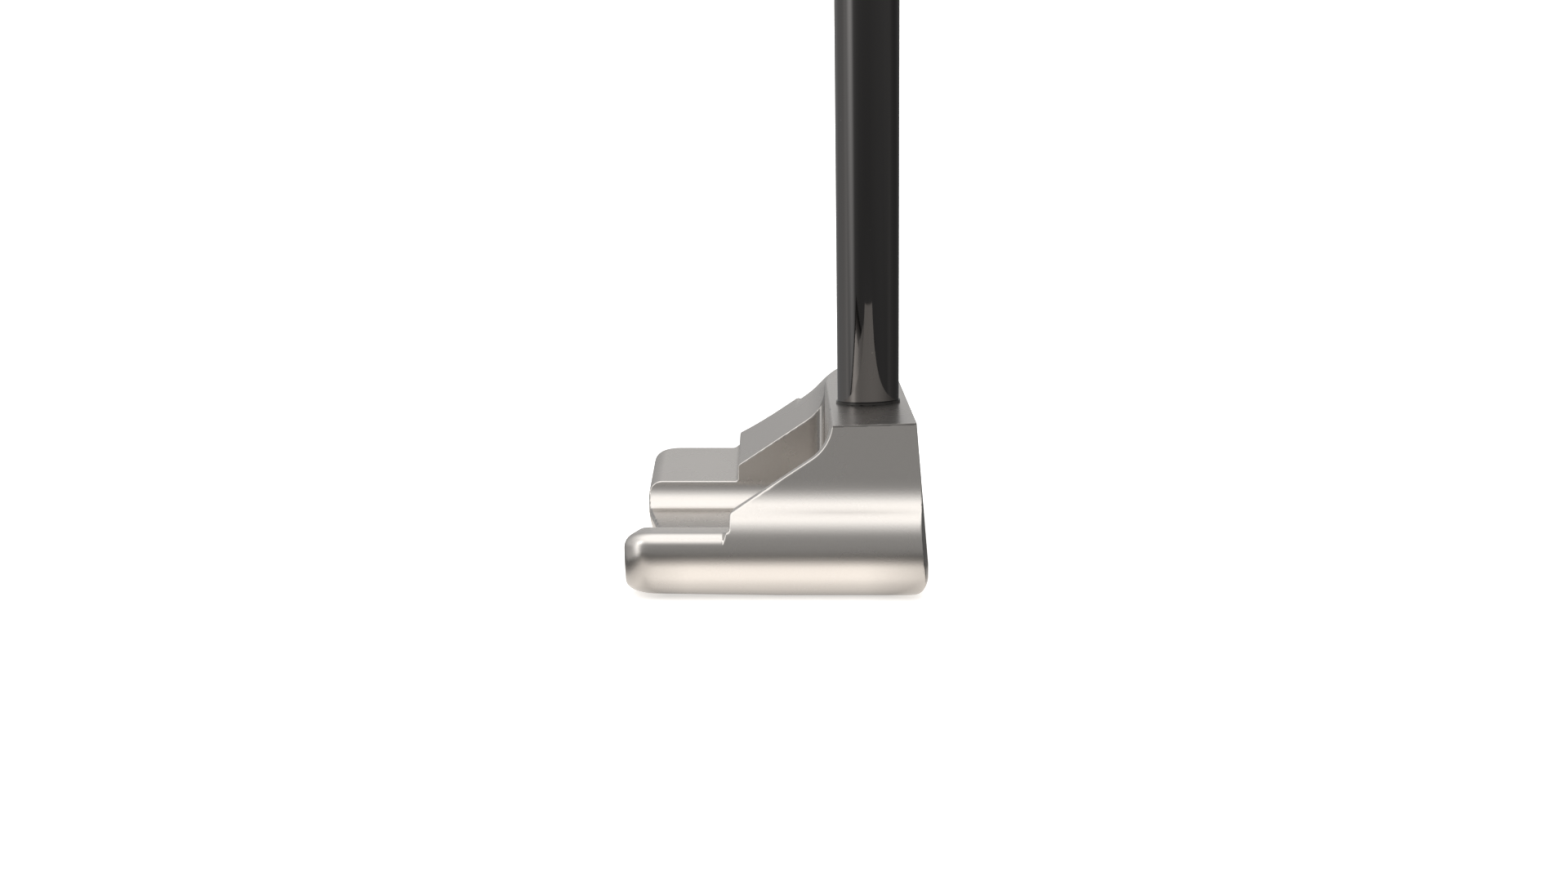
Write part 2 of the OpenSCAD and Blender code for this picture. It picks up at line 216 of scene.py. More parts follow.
def skin_of(distance, xs, ys, zs):
    """Net of quads over the zero level of a distance on a grid.

    Each crossed cell gets one point at the mean of its edge crossings, each crossed grid edge
    one quad between its four cells, and each point then slides to the surface along the slope.
    """
    lines = (xs, ys, zs)
    field = distance(xs[:, None, None], ys[None, :, None], zs[None, None, :])
    shape = tuple(n - 1 for n in field.shape)
    total = np.zeros(shape + (3,))
    count = np.zeros(shape)
    crossed = []
    for axis in range(3):
        values = np.moveaxis(field, axis, 0)
        order = [axis] + [other for other in range(3) if other != axis]
        start, stop = values[:-1], values[1:]
        hit = (start < 0) != (stop < 0)
        i, j, k = np.nonzero(hit)
        share = start[hit] / (start[hit] - stop[hit])
        place = np.empty((len(i), 3))
        place[:, order[0]] = lines[order[0]][i] + share * np.diff(lines[order[0]])[i]
        place[:, order[1]] = lines[order[1]][j]
        place[:, order[2]] = lines[order[2]][k]
        for dj in (0, 1):
            for dk in (0, 1):
                cell = np.empty((len(i), 3), int)
                cell[:, order[0]], cell[:, order[1]], cell[:, order[2]] = i, j - dj, k - dk
                np.add.at(total, tuple(cell.T), place)
                np.add.at(count, tuple(cell.T), 1)
        outward = start[hit] < 0
        crossed.append((order, i, j, k, outward if axis != 1 else ~outward))
    used = count > 0
    number = np.cumsum(used.ravel()).reshape(shape) - 1
    points = total[used] / count[used][:, None]
    quads = []
    for order, i, j, k, outward in crossed:
        ring = []
        for dj, dk in ((1, 1), (0, 1), (0, 0), (1, 0)):
            cell = np.empty((len(i), 3), int)
            cell[:, order[0]], cell[:, order[1]], cell[:, order[2]] = i, j - dj, k - dk
            ring.append(number[tuple(cell.T)])
        ring = np.stack(ring, 1)
        quads.append(np.where(outward[:, None], ring, ring[:, ::-1]))
    small = 0.02
    for _ in range(3):
        slope = np.stack([distance(*(points + small * np.eye(3)[a]).T)
                          - distance(*(points - small * np.eye(3)[a]).T)
                          for a in range(3)], 1) / (2 * small)
        length = np.linalg.norm(slope, axis=1, keepdims=True) + 1e-9
        move = distance(*points.T)[:, None] * slope / length ** 2
        points = points - np.clip(move, -0.2, 0.2)
    return points, np.concatenate(quads), slope / length


def add_piece(name, points, faces, material, normals=None, shade=None):
    """Put points in mm and faces into a smooth mesh object at the origin, with its material."""
    mesh = bpy.data.meshes.new(name)
    mesh.from_pydata((points * MM).tolist(), [], faces.tolist())
    mesh.polygons.foreach_set("use_smooth", np.ones(len(mesh.polygons), bool))
    if normals is not None:
        mesh.normals_split_custom_set_from_vertices(normals.tolist())
    if shade is not None:
        mesh.attributes.new("shade", "FLOAT", "POINT").data.foreach_set("value", shade)
    mesh.materials.append(material)
    mesh.update()
    piece = bpy.data.objects.new(name, mesh)
    bpy.context.scene.collection.objects.link(piece)
    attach(piece, "root")
    return piece


def linear(code):
    """Turn an sRGB hex value into linear red, green, blue and alpha."""
    srgb = np.array([int(code[i:i + 2], 16) for i in (0, 2, 4)]) / 255
    value = np.where(srgb <= 0.04045, srgb / 12.92, ((srgb + 0.055) / 1.055) ** 2.4)
    return (*value.tolist(), 1.0)


def add_node(tree, kind, sockets=None, links=None, **settings):
    """Add one node with its settings, its socket values and its links from (node, output)."""
    node = tree.nodes.new(kind)
    for name, value in settings.items():
        setattr(node, name, value)
    for name, value in (sockets or {}).items():
        node.inputs[name].default_value = value
    for name, (source, output) in (links or {}).items():
        tree.links.new(source.outputs[output], node.inputs[name])
    return node


def new_finish(name, **sockets):
    """A material with one Principled shader, whose fixed values are set on the shader itself."""
    finish = bpy.data.materials.new(name)
    finish.use_nodes = True
    tree = finish.node_tree
    shader = tree.nodes["Principled BSDF"]
    for socket, value in sockets.items():
        shader.inputs[socket.replace("_", " ")].default_value = value
    return finish, tree, shader


# Stainless steel, fly-cut and bead-blasted: a warm grey satin with a fine even grain, and
# cutter marks that still show as faint level lines.
blasted_steel, tree, shader = new_finish("blasted_stainless_steel", Metallic=1.0)
place = add_node(tree, "ShaderNodeTexCoord")
# Bead pits are about 0.1 mm; they are drawn at 0.3 mm, because finer ones don't show.
grain = add_node(tree, "ShaderNodeTexNoise", {"Scale": 1 / (0.3 * MM), "Detail": 3.0},
                 {"Vector": (place, "Object")})
stretch = add_node(tree, "ShaderNodeMapping", {"Scale": (0.03, 0.03, 1.0)},
                   {"Vector": (place, "Object")})
cutter = add_node(tree, "ShaderNodeTexNoise", {"Scale": 1 / (0.35 * MM), "Detail": 2.0},
                  {"Vector": (stretch, "Vector")})
haze = add_node(tree, "ShaderNodeTexNoise", {"Scale": 1 / (14 * MM), "Detail": 4.0},
                {"Vector": (place, "Object")})
tint = add_node(tree, "ShaderNodeMix", {"A": linear("CDC8C3"), "B": linear("D3CFCA")},
                {"Factor": (grain, "Fac")}, data_type="RGBA")
# The shade attribute darkens the colour: painted shade on the pocket floor, in its corners and along the
# rail's top end edges.
shade = add_node(tree, "ShaderNodeAttribute", attribute_name="shade")
shaded = add_node(tree, "ShaderNodeMix", {"Factor": 1.0}, {}, data_type="RGBA", blend_type="MULTIPLY")
tree.links.new(tint.outputs[2], shaded.inputs["A"])
tree.links.new(shade.outputs["Fac"], shaded.inputs["B"])
tree.links.new(shaded.outputs[2], shader.inputs["Base Color"])
rough = add_node(tree, "ShaderNodeMapRange", {"To Min": 0.24, "To Max": 0.30},
                 {"Value": (haze, "Fac")})
tree.links.new(rough.outputs[0], shader.inputs["Roughness"])
pits = add_node(tree, "ShaderNodeBump", {"Strength": 0.18, "Distance": 0.03 * MM},
                {"Height": (grain, "Fac")})
marks = add_node(tree, "ShaderNodeBump", {"Strength": 0.10, "Distance": 0.02 * MM},
                 {"Height": (cutter, "Fac"), "Normal": (pits, "Normal")})
tree.links.new(marks.outputs[0], shader.inputs["Normal"])

# The grid is finer round every edge that is broken or rounded.
points, faces, normals = skin_of(
    head_distance,
    grid_line(REAR_X - 0.5, LEAD_X + 0.7, 0.42,
              [(REAR_X - 1, REAR_X + 1.5, 0.26), (STEP_X - 0.8, STEP_X + 0.8, 0.2),
               (RAIL_REAR_X - 1.2, RAIL_REAR_X + 0.8, 0.25), (LEAD_X - 3.2, LEAD_X + 1.2, 0.26)]),
    grid_line(-WIDEST - 0.55, WIDEST + 0.7, 0.8,
              [(-WIDEST - 0.8, 1.8 - HALF_LENGTH, 0.3),
               (-HALF_LENGTH - 0.2, 0.2 - HALF_LENGTH, 0.1),
               (-HALF_POCKET - 0.6, 0.8 - HALF_POCKET, 0.2), (-LINE_HALF - 0.5, LINE_HALF + 0.4, 0.3),
               (HALF_POCKET - 0.8, HALF_POCKET + 0.6, 0.2), (HALF_LENGTH - 1.8, WIDEST + 0.8, 0.3)]),
    grid_line(-0.5, HEAD_HEIGHT + 1.0, 0.4,
              [(-0.6, 1.2, 0.25), (FLOOR_Z - 1.0, FLOOR_Z + 0.2, 0.25),
               (WING_Z - 1.2, WING_Z + 0.6, 0.25), (HEAD_HEIGHT - 0.4, HEAD_HEIGHT + 0.6, 0.1)]))

# The pocket floor is darkened as painted shade, and so are its upright corners, darker the nearer they
# come.
# The rail's top end edges are darkened as painted shade that damps their highlight.
FLOOR_PAINTED_SHADE, CORNER_PAINTED_SHADE, EDGE_PAINTED_SHADE = 0.55, 0.35, 0.5
SHADE_REACH = 2.6
across, over, up = points.T
in_pocket = ((np.abs(over) < HALF_POCKET + 0.2) & (across < RAIL_REAR_X + 0.2)
             & (up > FLOOR_Z - 0.3))
on_floor = in_pocket & (np.abs(up - FLOOR_Z) < 0.3) & (normals[:, 2] > 0.8)
to_corner = np.maximum(RAIL_REAR_X - across, HALF_POCKET - np.abs(over)) / SHADE_REACH
corner_shade = CORNER_PAINTED_SHADE + (1 - CORNER_PAINTED_SHADE) * np.clip(to_corner, 0, 1)
rail_top = HEAD_HEIGHT + (across - RAIL_REAR_X) * math.tan(RAIL_RISE)
on_edge = (np.abs(over) > HALF_LENGTH - 0.25) & (up > rail_top - 0.25)
painted_shade = (np.where(on_floor, FLOOR_PAINTED_SHADE, 1.0) * np.where(in_pocket, corner_shade, 1.0)
            * np.where(on_edge, EDGE_PAINTED_SHADE, 1.0))
head = add_piece("head", points, faces, blasted_steel, normals, painted_shade)
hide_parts("head_body")


# ---- Sight line ------------------------------------------------------------------------------
# A milled groove down the middle of the pocket floor, filled flush with black enamel and
# wiped level while wet, which leaves it slightly uneven.
line_enamel, tree, shader = new_finish("wiped_black_enamel", Roughness=0.38)
place = add_node(tree, "ShaderNodeTexCoord")
wipe = add_node(tree, "ShaderNodeTexNoise", {"Scale": 1 / (0.8 * MM), "Detail": 3.0},
                {"Vector": (place, "Object")})
tint = add_node(tree, "ShaderNodeMix", {"A": linear("141416"), "B": linear("232326")},
                {"Factor": (wipe, "Fac")}, data_type="RGBA")
tree.links.new(tint.outputs[2], shader.inputs["Base Color"])
dips = add_node(tree, "ShaderNodeBump", {"Strength": 0.2, "Distance": 0.03 * MM},
                {"Height": (wipe, "Fac")})
tree.links.new(dips.outputs[0], shader.inputs["Normal"])


def dress(node, finish):
    """Give a carried-over CAD node its finish in every material slot."""
    piece = bpy.data.objects[node]
    piece.data.materials.clear()
    piece.data.materials.append(finish)


dress("sight_line_fill", line_enamel)


# ---- Sole weights ----------------------------------------------------------------------------
# Two round weights turned from steel bar, screwed into the sole with a six-sided key. The
# lathe leaves fine rings about each weight's middle.
# Turned steel: rings of fine feed marks, each a little brighter and rougher than the next.
turned_steel, tree, shader = new_finish("turned_steel_weight", Metallic=1.0)
place = add_node(tree, "ShaderNodeTexCoord")
both = add_node(tree, "ShaderNodeVectorMath", {}, {"Vector": (place, "Object")}, operation="ABSOLUTE")
centred = add_node(tree, "ShaderNodeMapping",
                   {"Location": (-WEIGHT_X * MM, -WEIGHT_Y * MM, 0.0)}, {"Vector": (both, "Vector")})
# Feed marks are about 0.1 mm apart; they are drawn at 0.35 mm so that they show.
rings = add_node(tree, "ShaderNodeTexWave", {"Scale": 0.05 / (0.35 * MM) * 2, "Distortion": 0.4},
                 {"Vector": (centred, "Vector")}, wave_type="RINGS", rings_direction="Z")
tint = add_node(tree, "ShaderNodeMix", {"A": linear("A9A6A2"), "B": linear("BDBAB6")},
                {"Factor": (rings, "Fac")}, data_type="RGBA")
# The key socket is painted darker the deeper it goes: painted shade in the recess.
deep = add_node(tree, "ShaderNodeSeparateXYZ", {}, {"Vector": (place, "Object")})
socket_shade = add_node(tree, "ShaderNodeMapRange", {"From Min": 0.1 * MM, "From Max": 1.5 * MM, "To Max": 0.8},
               {"Value": (deep, "Z")})
shaded_socket = add_node(tree, "ShaderNodeMix", {"B": linear("2A2826")}, {"Factor": (socket_shade, "Result")},
                data_type="RGBA")
tree.links.new(tint.outputs[2], shaded_socket.inputs["A"])
tree.links.new(shaded_socket.outputs[2], shader.inputs["Base Color"])
rough = add_node(tree, "ShaderNodeMapRange", {"To Min": 0.22, "To Max": 0.34},
                 {"Value": (rings, "Fac")})
tree.links.new(rough.outputs[0], shader.inputs["Roughness"])
dress("heel_sole_weight", turned_steel)
dress("toe_sole_weight", turned_steel)


# ---- Shaft -----------------------------------------------------------------------------------
# A steel tube, parallel near the tip and then tapering out to the butt, ground and plated
# black. The plating is glossy, with long fine polishing lines and a few specks of dust.
TIP_RADIUS = 4.7
BUTT_RADIUS = 7.35
PARALLEL = 180.0
CLUB_LENGTH = 850.0
CAP_THICKNESS = 4.0
GRIP_LENGTH = 265.0
SHAFT_TOP = CLUB_LENGTH - CAP_THICKNESS


def shaft_radius(height):
    """Outside radius of the shaft: level to the parallel length, then growing evenly to the butt."""
    grow = np.clip((height - PARALLEL) / (SHAFT_TOP - PARALLEL), 0, 1)
    return TIP_RADIUS + (BUTT_RADIUS - TIP_RADIUS) * grow


def turned(radii, heights, around=96, shape=None):
    """A closed profile carried round the shaft: seat + height up the shaft + radius across it.

    radii and heights follow the profile once round. shape, if given, turns (angle, radius,
    height) into the radius of a piece that isn't round.
    """
    angle = np.linspace(0, 2 * math.pi, around, endpoint=False)[None, :]
    radius = np.broadcast_to(np.asarray(radii, float)[:, None], (len(radii), around))
    height = np.broadcast_to(np.asarray(heights, float)[:, None], radius.shape)
    if shape is not None:
        radius = shape(angle, radius, height)
    points = (SEAT + radius[..., None] * (np.cos(angle)[..., None] * SHAFT_AXES[0]
                                          + np.sin(angle)[..., None] * SHAFT_AXES[1])
              + height[..., None] * SHAFT_AXES[2])
    rows = np.arange(len(radii))
    ring = np.arange(around)
    here = (rows[:, None] * around + ring[None, :]).ravel()
    right = (rows[:, None] * around + np.roll(ring, -1)[None, :]).ravel()
    up = np.roll(rows, -1)
    above = (up[:, None] * around + ring[None, :]).ravel()
    above_right = (up[:, None] * around + np.roll(ring, -1)[None, :]).ravel()
    return points.reshape(-1, 3), np.stack([here, right, above_right, above], 1)


# Black plating over ground steel: a dark mirror with long faint streaks.
black_plating, tree, shader = new_finish("black_plated_steel", Metallic=1.0)
place = add_node(tree, "ShaderNodeTexCoord")
# Polishing lines run the length of the shaft: 0.25 mm wide and about 40 mm long.
turn = add_node(tree, "ShaderNodeMapping", {"Rotation": (-LIE, BACK, 0.0)},
                {"Vector": (place, "Object")})
long_lines = add_node(tree, "ShaderNodeMapping", {"Scale": (1.0, 1.0, 0.006)},
                      {"Vector": (turn, "Vector")})
polish = add_node(tree, "ShaderNodeTexNoise", {"Scale": 1 / (0.5 * MM), "Detail": 2.0},
                  {"Vector": (long_lines, "Vector")})
dust = add_node(tree, "ShaderNodeTexNoise", {"Scale": 1 / (0.7 * MM), "Detail": 1.0},
                {"Vector": (place, "Object")})
specks = add_node(tree, "ShaderNodeMapRange", {"From Min": 0.80, "From Max": 0.86},
                  {"Value": (dust, "Fac")})
tint = add_node(tree, "ShaderNodeMix", {"A": linear("696766"), "B": linear("6F6D6C")},
                {"Factor": (polish, "Fac")}, data_type="RGBA")
dusty = add_node(tree, "ShaderNodeMix", {"B": linear("8A8784")},
                 {"Factor": (specks, "Result")}, data_type="RGBA")
tree.links.new(tint.outputs[2], dusty.inputs["A"])
tree.links.new(dusty.outputs[2], shader.inputs["Base Color"])
rough = add_node(tree, "ShaderNodeMapRange", {"To Min": 0.04, "To Max": 0.09},
                 {"Value": (polish, "Fac")})
tree.links.new(rough.outputs[0], shader.inputs["Roughness"])

TUBE_WALL = 0.6
heights = np.concatenate([[-SEAT_DEPTH + 0.1, -SEAT_DEPTH + 0.3],
                          np.linspace(-SEAT_DEPTH + 4, SHAFT_TOP - 0.2, 120), [SHAFT_TOP]])
outer = shaft_radius(heights) - np.where((heights < -SEAT_DEPTH + 0.2) | (heights == SHAFT_TOP), 0.2, 0)
points, faces = turned(np.concatenate([outer, outer[::-1] - TUBE_WALL]),
                       np.concatenate([heights, heights[::-1]]), 160)
shaft = add_piece("shaft", points, faces, black_plating)
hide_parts("shaft_tube")


# ---- Shaft base bead, bond and tip plug ------------------------------------------------------
# Black epoxy holds the shaft in its bore. A thin bead of it is wiped round the shaft at the
# rail. A cork plug in the tip keeps it out of the tube.
black_epoxy, tree, shader = new_finish("wiped_black_epoxy", Roughness=0.22)
place = add_node(tree, "ShaderNodeTexCoord")
smear = add_node(tree, "ShaderNodeTexNoise", {"Scale": 1 / (0.6 * MM), "Detail": 2.0},
                 {"Vector": (place, "Object")})
tint = add_node(tree, "ShaderNodeMix", {"A": linear("0C0C0C"), "B": linear("1B1A19")},
                {"Factor": (smear, "Fac")}, data_type="RGBA")
tree.links.new(tint.outputs[2], shader.inputs["Base Color"])
dress("shaft_base_bead", black_epoxy)
dress("shaft_bond", black_epoxy)
# Pressed cork: pale brown crumbs about 1.2 mm across in a darker binder.
cork_plug, tree, shader = new_finish("pressed_cork_plug", Roughness=0.85)
place = add_node(tree, "ShaderNodeTexCoord")
cells = add_node(tree, "ShaderNodeTexVoronoi", {"Scale": 1 / (1.2 * MM)}, {"Vector": (place, "Object")})
tint = add_node(tree, "ShaderNodeMix", {"A": linear("B48A5C"), "B": linear("7E5A38")},
                {"Factor": (cells, "Distance")}, data_type="RGBA")
tree.links.new(tint.outputs[2], shader.inputs["Base Color"])
dress("shaft_tip_plug", cork_plug)


# ---- Shaft band ------------------------------------------------------------------------------
# A blank printed polyester film, wrapped once round the shaft below the grip and stuck down.
# The print shows as a very fine mottle.
band_film, tree, shader = new_finish("printed_polyester_film", Roughness=0.25)
place = add_node(tree, "ShaderNodeTexCoord")
turn = add_node(tree, "ShaderNodeMapping", {"Rotation": (-LIE, BACK, 0.0)}, {"Vector": (place, "Object")})
print_dots = add_node(tree, "ShaderNodeTexNoise", {"Scale": 1 / (0.4 * MM)}, {"Vector": (turn, "Vector")})
tint = add_node(tree, "ShaderNodeMix", {"A": linear("47484B"), "B": linear("515256")},
                {"Factor": (print_dots, "Fac")}, data_type="RGBA")
tree.links.new(tint.outputs[2], shader.inputs["Base Color"])
BAND = (500.0, 542.0)
BAND_FILM = 0.12
heights = np.linspace(*BAND, 12)
radii = shaft_radius(heights)
points, faces = turned(np.concatenate([radii + BAND_FILM, radii[::-1] + 0.01]),
                       np.concatenate([heights, heights[::-1]]), 96)
band = add_piece("band", points, faces, band_film)
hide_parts("shaft_band")


# ---- Grip ------------------------------------------------------------------------------------
# The grip is moulded rubber with a flat front, slid over double-sided tape. Its skin has
# small moulded dimples, and the cap closes the butt end round a vent hole.
GRIP_LOW = CLUB_LENGTH - GRIP_LENGTH
GRIP_MOUTH_RADIUS = 9.5
GRIP_BUTT_RADIUS = 13.5
GRIP_FLAT = 10.4
MOUTH_LIP = 2.4
FLAT_SOFTNESS = 0.9
WIDEST_SHAFT = 8.6


def grip_outline(angle, radius, height):
    """Round back cut by a flat front: the smaller of the radius and flat / cos, softly joined.

    A radius no wider than the shaft belongs to the round hole through the grip and stays.
    """
    flat = GRIP_FLAT / np.maximum(np.cos(angle), 1e-3)
    blend = np.clip(0.5 + 0.5 * (radius - flat) / FLAT_SOFTNESS, 0, 1)
    outline = radius * (1 - blend) + flat * blend - FLAT_SOFTNESS * blend * (1 - blend)
    return np.where(radius > WIDEST_SHAFT, outline, radius)


# Moulded rubber: nearly black and matt, with a fine grain over the dimples.
moulded_rubber, tree, shader = new_finish("moulded_grip_rubber", Roughness=0.72)
place = add_node(tree, "ShaderNodeTexCoord")
turn = add_node(tree, "ShaderNodeMapping", {"Rotation": (-LIE, BACK, 0.0)}, {"Vector": (place, "Object")})
# Dimples are 2.2 mm apart, as moulded.
dimples = add_node(tree, "ShaderNodeTexVoronoi", {"Scale": 1 / (2.2 * MM), "Randomness": 0.0},
                   {"Vector": (turn, "Vector")})
skin_grain = add_node(tree, "ShaderNodeTexNoise", {"Scale": 1 / (0.35 * MM), "Detail": 3.0},
                      {"Vector": (place, "Object")})
tint = add_node(tree, "ShaderNodeMix", {"A": linear("1B1B1B"), "B": linear("2A2A29")},
                {"Factor": (skin_grain, "Fac")}, data_type="RGBA")
tree.links.new(tint.outputs[2], shader.inputs["Base Color"])
pores = add_node(tree, "ShaderNodeBump", {"Strength": 0.25, "Distance": 0.06 * MM},
                 {"Height": (skin_grain, "Fac")})
pits = add_node(tree, "ShaderNodeBump", {"Strength": 0.6, "Distance": 0.25 * MM},
                {"Height": (dimples, "Distance"), "Normal": (pores, "Normal")})
tree.links.new(pits.outputs[0], shader.inputs["Normal"])

heights = np.concatenate([[GRIP_LOW, GRIP_LOW + 0.3, GRIP_LOW + 1.0, GRIP_LOW + MOUTH_LIP],
                          np.linspace(GRIP_LOW + 6, SHAFT_TOP - 0.6, 90), [SHAFT_TOP - 0.1, SHAFT_TOP]])
swell = np.clip((heights - GRIP_LOW - MOUTH_LIP) / (GRIP_LENGTH * 0.6 - MOUTH_LIP), 0, 1)
outer = GRIP_MOUTH_RADIUS + (GRIP_BUTT_RADIUS - GRIP_MOUTH_RADIUS) * swell
outer = outer - np.clip(1 - (heights - GRIP_LOW) / MOUTH_LIP, 0, 1) ** 2 * 1.2
outer[-1] = outer[-1] - 0.4
inner = shaft_radius(heights[::-1]) + 0.3
points, faces = turned(
    np.concatenate([outer, inner]), np.concatenate([heights, heights[::-1]]), 160, grip_outline)
grip = add_piece("grip", points, faces, moulded_rubber)
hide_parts("grip_sleeve")
dress("grip_cap", moulded_rubber)

# Crepe paper tape: dull buff, with a soft crinkle about 1 mm across.
crepe_tape, tree, shader = new_finish("double_sided_crepe_tape", Roughness=0.8)
place = add_node(tree, "ShaderNodeTexCoord")
crepe = add_node(tree, "ShaderNodeTexNoise", {"Scale": 1 / (0.9 * MM)}, {"Vector": (place, "Object")})
tint = add_node(tree, "ShaderNodeMix", {"A": linear("D8CBA6"), "B": linear("C7B88F")},
                {"Factor": (crepe, "Fac")}, data_type="RGBA")
tree.links.new(tint.outputs[2], shader.inputs["Base Color"])
dress("grip_tape", crepe_tape)


# ---- Studio ----------------------------------------------------------------------------------
# A white paper sweep under a white ceiling, in a grey room. The steel mirrors the room and a
# small glowing card, not the sweep: bright above, grey around the horizon, and a tall soft box on
# the left.


def sweep(width, front, back, radius, turn):
    """Paper sweep: level from front to back, then up an arc of a radius through a turn."""
    bend = np.linspace(0, turn, 40)
    profile = np.concatenate([[[front, 0]], np.stack([back + radius * np.sin(bend),
                                                      radius * (1 - np.cos(bend))], 1)])
    sides = np.array([-width / 2, width / 2])
    points = np.stack([np.broadcast_to(sides[None, :], (len(profile), 2)),
                       np.broadcast_to(profile[:, :1], (len(profile), 2)),
                       np.broadcast_to(profile[:, 1:], (len(profile), 2))], -1).reshape(-1, 3)
    row = np.arange(len(profile) - 1) * 2
    return points, np.stack([row, row + 1, row + 3, row + 2], 1)


paper, tree, shader = new_finish("white_paper_sweep", Roughness=0.9, Emission_Strength=0.5)
place = add_node(tree, "ShaderNodeTexCoord")
fibre = add_node(tree, "ShaderNodeTexNoise", {"Scale": 400.0}, {"Vector": (place, "Object")})
tint = add_node(tree, "ShaderNodeMix", {"A": linear("F6F5F3"), "B": linear("FAF9F8")},
                {"Factor": (fibre, "Fac")}, data_type="RGBA")
tree.links.new(tint.outputs[2], shader.inputs["Base Color"])
tree.links.new(tint.outputs[2], shader.inputs["Emission Color"])
points, faces = sweep(24.0, -6.0, 1.5, 6.0, math.radians(70))
mesh = bpy.data.meshes.new("sweep")
mesh.from_pydata(points.tolist(), [], faces.tolist())
mesh.polygons.foreach_set("use_smooth", np.ones(len(mesh.polygons), bool))
mesh.materials.append(paper)
floor = bpy.data.objects.new("sweep", mesh)
bpy.context.scene.collection.objects.link(floor)
floor.visible_glossy = False
floor.visible_shadow = False


def add_ramp(tree, share, stops, top):
    """Colour ramp over (share from 0 to 1, red, green, blue), with values held as parts of top."""
    node = add_node(tree, "ShaderNodeValToRGB", {}, {"Fac": share})
    ends = {0: 0, len(stops) - 1: -1}
    for index, (place, *colour) in enumerate(stops):
        elements = node.color_ramp.elements
        element = elements[ends[index]] if index in ends else elements.new(place)
        element.color = (*[value / top for value in colour], 1.0)
    return node


def as_share(stops, low, high):
    """The same stops with each angle turned into its share of the way from low to high."""
    return [((angle - low) / (high - low), *colour) for angle, *colour in stops]


# A small card lies under the head and glows, though no lamp lights it. Only the steel mirrors it:
# bright close round the head, dimmer beneath it as a painted shadow of the head, dimmer towards the
# face and back, and gone 14 mm away. Its stops are (share of the way from 6 mm inside the head's outline to
# 14 mm outside it, brightness).
CARD = [(0.0, 0.42), (0.20, 1.12), (0.30, 1.60), (0.50, 1.60), (0.65, 0.70), (0.80, 0.25), (1.0, 0.0)]
CARD_TINT = (1.0, 0.955, 0.91)
CARD_TOP = 2.0
CARD_SIZE = (36, 64)
CARD_HEIGHT = 0.1
card_glow, tree, shader = new_finish("glowing_card")
tree.nodes.remove(shader)
place = add_node(tree, "ShaderNodeTexCoord")
either = add_node(tree, "ShaderNodeVectorMath", {}, {"Vector": (place, "Object")}, operation="ABSOLUTE")
beyond = add_node(tree, "ShaderNodeVectorMath", {1: (LEAD_X * MM, WIDEST * MM, 0.0)}, {0: (either, 0)},
                  operation="SUBTRACT")
split = add_node(tree, "ShaderNodeSeparateXYZ", {}, {"Vector": (beyond, 0)})
outside = add_node(tree, "ShaderNodeMath", {}, {0: (split, "X"), 1: (split, "Y")}, operation="MAXIMUM")
share = add_node(tree, "ShaderNodeMapRange", {"From Min": -6 * MM, "From Max": 14 * MM},
                 {"Value": (outside, 0)})
fade = add_node(tree, "ShaderNodeMapRange",
                {"From Min": -9 * MM, "From Max": 4 * MM, "To Min": 1.9, "To Max": 0.95},
                {"Value": (split, "X")})
glow = add_ramp(tree, (share, "Result"),
                [(stop, *[value * part for part in CARD_TINT]) for stop, value in CARD], CARD_TOP)
light = add_node(tree, "ShaderNodeEmission", {}, {"Color": (glow, "Color"), "Strength": (fade, "Result")})
tree.links.new(light.outputs[0], tree.nodes["Material Output"].inputs[0])
card_glow.cycles.emission_sampling = "NONE"
mesh = bpy.data.meshes.new("card")
mesh.from_pydata([(x * CARD_SIZE[0] * MM, y * CARD_SIZE[1] * MM, CARD_HEIGHT * MM)
                  for x, y in ((-1, -1), (1, -1), (1, 1), (-1, 1))], [], [(0, 1, 2, 3)])
mesh.materials.append(card_glow)
card = bpy.data.objects.new("card", mesh)
bpy.context.scene.collection.objects.link(card)
card.visible_camera = False
card.visible_diffuse = False
card.visible_shadow = False

# Room brightness by height above the horizon in degrees: on the near side, then the far side.
NEAR_ROOM = [(-90, 0.30, 0.29, 0.28), (-50, 0.20, 0.20, 0.20), (-38, 0.13, 0.13, 0.13),
             (-28, 0.18, 0.18, 0.18), (-15, 0.33, 0.33, 0.33), (5, 0.34, 0.34, 0.34),
             (15, 0.36, 0.36, 0.36), (25, 0.46, 0.46, 0.46),
             (35, 0.75, 0.75, 0.75), (47, 1.15, 1.15, 1.15), (60, 1.66, 1.65, 1.64),
             (84, 1.70, 1.68, 1.66), (90, 1.45, 1.45, 1.45)]
FAR_ROOM = [(-90, 0.30, 0.29, 0.28), (-40, 0.50, 0.49, 0.48), (-8, 0.30, 0.30, 0.30), (0, 0.42, 0.42, 0.42),
            (8, 0.50, 0.50, 0.50), (25, 0.55, 0.55, 0.55), (40, 0.90, 0.90, 0.90),
            (58, 1.65, 1.65, 1.65), (84, 1.68, 1.68, 1.68), (90, 1.45, 1.45, 1.45)]
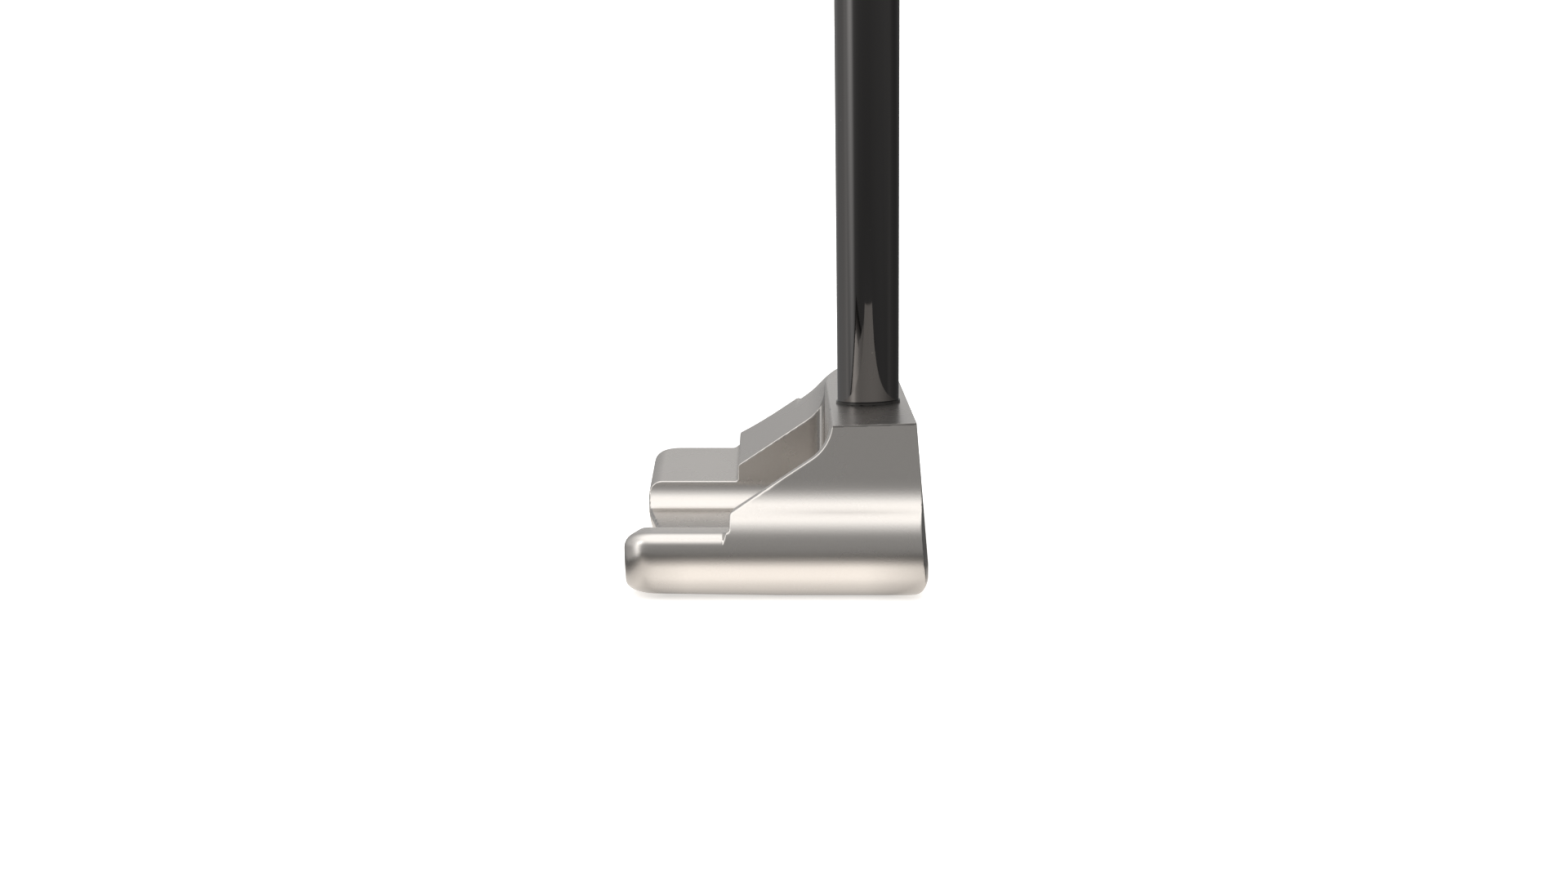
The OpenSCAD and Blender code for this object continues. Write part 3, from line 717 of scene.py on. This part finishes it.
# Side brightness by bearing in degrees, 0 at the camera and -90 on the left: a tall soft box
# there, brightest along its near edge, and dark cloth on the right.
SIDES = [(-180, 1.0), (-161, 0.8), (-124, 1.3), (-102, 1.4), (-85, 2.2), (-72, 5.5), (-66, 5.5), (-56, 1.6),
         (-43, 1.1), (-20, 1.0), (40, 1.0), (80, 0.7), (102, 0.4), (124, 0.3), (161, 0.3), (180, 1.0)]
ROOM_TOP = 2.5
SIDE_TOP = 10.0
world = bpy.data.worlds.new("studio_room")
bpy.context.scene.world = world
world.use_nodes = True
tree = world.node_tree
way = add_node(tree, "ShaderNodeTexCoord")
parts = add_node(tree, "ShaderNodeSeparateXYZ", {}, {"Vector": (way, "Generated")})
rise = add_node(tree, "ShaderNodeMath", {}, {0: (parts, "Z")}, operation="ARCSINE")
share = add_node(tree, "ShaderNodeMapRange", {"From Min": -math.pi / 2, "From Max": math.pi / 2},
                 {"Value": (rise, 0)})
near_room = add_ramp(tree, (share, "Result"), as_share(NEAR_ROOM, -90, 90), ROOM_TOP)
far_room = add_ramp(tree, (share, "Result"), as_share(FAR_ROOM, -90, 90), ROOM_TOP)
depth = add_node(tree, "ShaderNodeMapRange", {"From Min": -0.15, "From Max": 0.15},
                 {"Value": (parts, "Y")}, interpolation_type="SMOOTHSTEP")
room = add_node(tree, "ShaderNodeMix", {}, {"Factor": (depth, "Result")}, data_type="RGBA")
tree.links.new(near_room.outputs["Color"], room.inputs["A"])
tree.links.new(far_room.outputs["Color"], room.inputs["B"])
toward = add_node(tree, "ShaderNodeMath", {1: -1.0}, {0: (parts, "Y")}, operation="MULTIPLY")
bearing = add_node(tree, "ShaderNodeMath", {}, {0: (parts, "X"), 1: (toward, 0)}, operation="ARCTAN2")
turn = add_node(tree, "ShaderNodeMapRange", {"From Min": -math.pi, "From Max": math.pi},
                {"Value": (bearing, 0)})
sides = add_ramp(tree, (turn, "Result"),
                 as_share([(angle, value, value, value) for angle, value in SIDES], -180, 180), SIDE_TOP)
steep = add_node(tree, "ShaderNodeMath", {}, {0: (parts, "Z")}, operation="ABSOLUTE")
# The sides fade into the ceiling and the floor, where one side is as bright as another.
level = add_node(tree, "ShaderNodeMapRange",
                 {"From Min": 0.35, "From Max": 0.85, "To Min": 1.0, "To Max": 0.0},
                 {"Value": (steep, 0)}, interpolation_type="SMOOTHSTEP")
even = add_node(tree, "ShaderNodeMix", {"A": (1 / SIDE_TOP, 1 / SIDE_TOP, 1 / SIDE_TOP, 1.0)},
                {"Factor": (level, "Result")}, data_type="RGBA")
tree.links.new(sides.outputs["Color"], even.inputs["B"])
lit = add_node(tree, "ShaderNodeMix", {"Factor": 1.0}, {}, data_type="RGBA", blend_type="MULTIPLY")
tree.links.new(room.outputs[2], lit.inputs["A"])
tree.links.new(even.outputs[2], lit.inputs["B"])
back_light = tree.nodes["Background"]
tree.links.new(lit.outputs[2], back_light.inputs["Color"])
back_light.inputs["Strength"].default_value = ROOM_TOP * SIDE_TOP


# The camera looks at the heel end from a little above it, level from side to side.
CAMERA_PLACE = (1.1, -416.4, 69.7)
CAMERA_DIP = math.radians(7.2)
camera_data = bpy.data.cameras.new("camera")
camera_data.sensor_width = 36.0
camera_data.lens = 60.24
camera_data.clip_start = 0.01
camera = bpy.data.objects.new("camera", camera_data)
camera.location = [value * MM for value in CAMERA_PLACE]
camera.rotation_euler = (math.radians(90) - CAMERA_DIP, 0.0, 0.0)
bpy.context.scene.collection.objects.link(camera)
bpy.context.scene.camera = camera
bpy.context.scene.view_settings.view_transform = "Standard"
